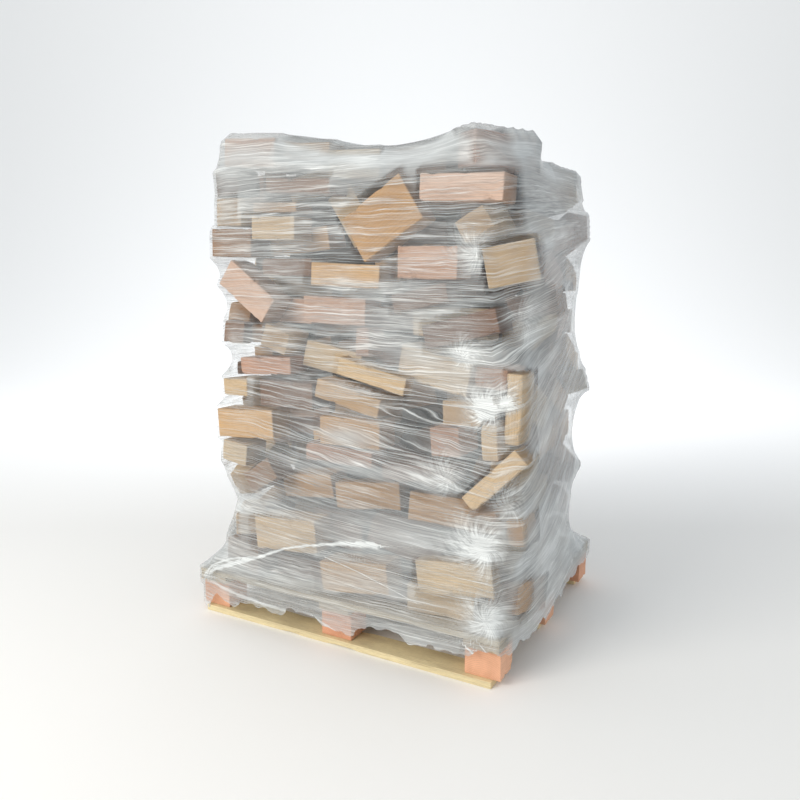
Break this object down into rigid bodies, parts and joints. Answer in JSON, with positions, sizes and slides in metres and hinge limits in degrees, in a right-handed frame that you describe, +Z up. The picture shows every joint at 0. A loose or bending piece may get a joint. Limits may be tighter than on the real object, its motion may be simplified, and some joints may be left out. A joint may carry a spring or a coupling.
{
  "type": "pallet of firewood wrapped in stretch film",
  "caption": "Sawn hardwood firewood blocks piled loose on a wooden pallet and wrapped from the deck to the top in clear stretch film.",
  "frame": {"origin": "middle of the bounding box, at the underside of the pallet", "axes": "+Z up, +X to the right along the long front of the pallet, +Y from the front to the back"},
  "size_m": [1.319, 1.0862, 1.7214],
  "materials": {
    "pallet_pine_fresh": "rough-sawn",
    "pallet_block_reddish": "rough-sawn",
    "pallet_pine_grey": "rough-sawn, greyed",
    "firewood_tan": "sawn",
    "firewood_reddish": "sawn",
    "firewood_dark": "sawn",
    "stretch_film": "glossy, wrinkled"
  },
  "bodies": {
    "root": {"bottom_board_back": "pallet_pine_fresh", "bottom_board_front": "pallet_pine_fresh", "bottom_board_middle": "pallet_pine_fresh", "deck_board_1": "pallet_pine_grey", "deck_board_2": "pallet_pine_grey", "deck_board_3": "pallet_pine_grey", "deck_board_4": "pallet_pine_grey", "deck_board_5": "pallet_pine_grey", "deck_board_6": "pallet_pine_grey", "deck_board_7": "pallet_pine_grey", "firewood_block_01": "firewood_reddish", "firewood_block_02": "firewood_reddish", "firewood_block_03": "firewood_reddish", "firewood_block_04": "firewood_dark", "firewood_block_05": "firewood_tan", "firewood_block_06": "firewood_tan", "firewood_block_07": "firewood_tan", "firewood_block_08": "firewood_dark", "firewood_block_09": "firewood_tan", "firewood_block_10": "firewood_reddish", "firewood_block_11": "firewood_dark", "firewood_block_12": "firewood_tan", "firewood_block_13": "firewood_reddish", "firewood_block_14": "firewood_dark", "firewood_block_15": "firewood_dark", "firewood_block_16": "firewood_reddish", "firewood_block_17": "firewood_dark", "firewood_block_18": "firewood_tan", "firewood_block_19": "firewood_tan", "firewood_block_20": "firewood_reddish", "firewood_block_21": "firewood_reddish", "firewood_block_22": "firewood_dark", "firewood_block_23": "firewood_tan", "firewood_block_24": "firewood_tan", "firewood_block_25": "firewood_tan", "firewood_block_26": "firewood_reddish", "firewood_block_27": "firewood_tan", "firewood_block_28": "firewood_tan", "firewood_block_29": "firewood_reddish", "firewood_block_30": "firewood_dark", "firewood_block_31": "firewood_tan", "firewood_block_32": "firewood_tan", "firewood_block_33": "firewood_tan", "firewood_block_34": "firewood_tan", "firewood_block_35": "firewood_tan", "firewood_block_36": "firewood_tan", "firewood_heap": "firewood_tan", "pallet_block_back_left": "pallet_block_reddish", "pallet_block_back_middle": "pallet_block_reddish", "pallet_block_back_right": "pallet_block_reddish", "pallet_block_front_left": "pallet_block_reddish", "pallet_block_front_middle": "pallet_block_reddish", "pallet_block_front_right": "pallet_block_reddish", "pallet_block_middle_left": "pallet_block_reddish", "pallet_block_middle_middle": "pallet_block_reddish", "pallet_block_middle_right": "pallet_block_reddish", "stretch_film": "stretch_film", "stringer_board_left": "pallet_pine_grey", "stringer_board_middle": "pallet_pine_grey", "stringer_board_right": "pallet_pine_grey"}
  },
  "joints": []
}
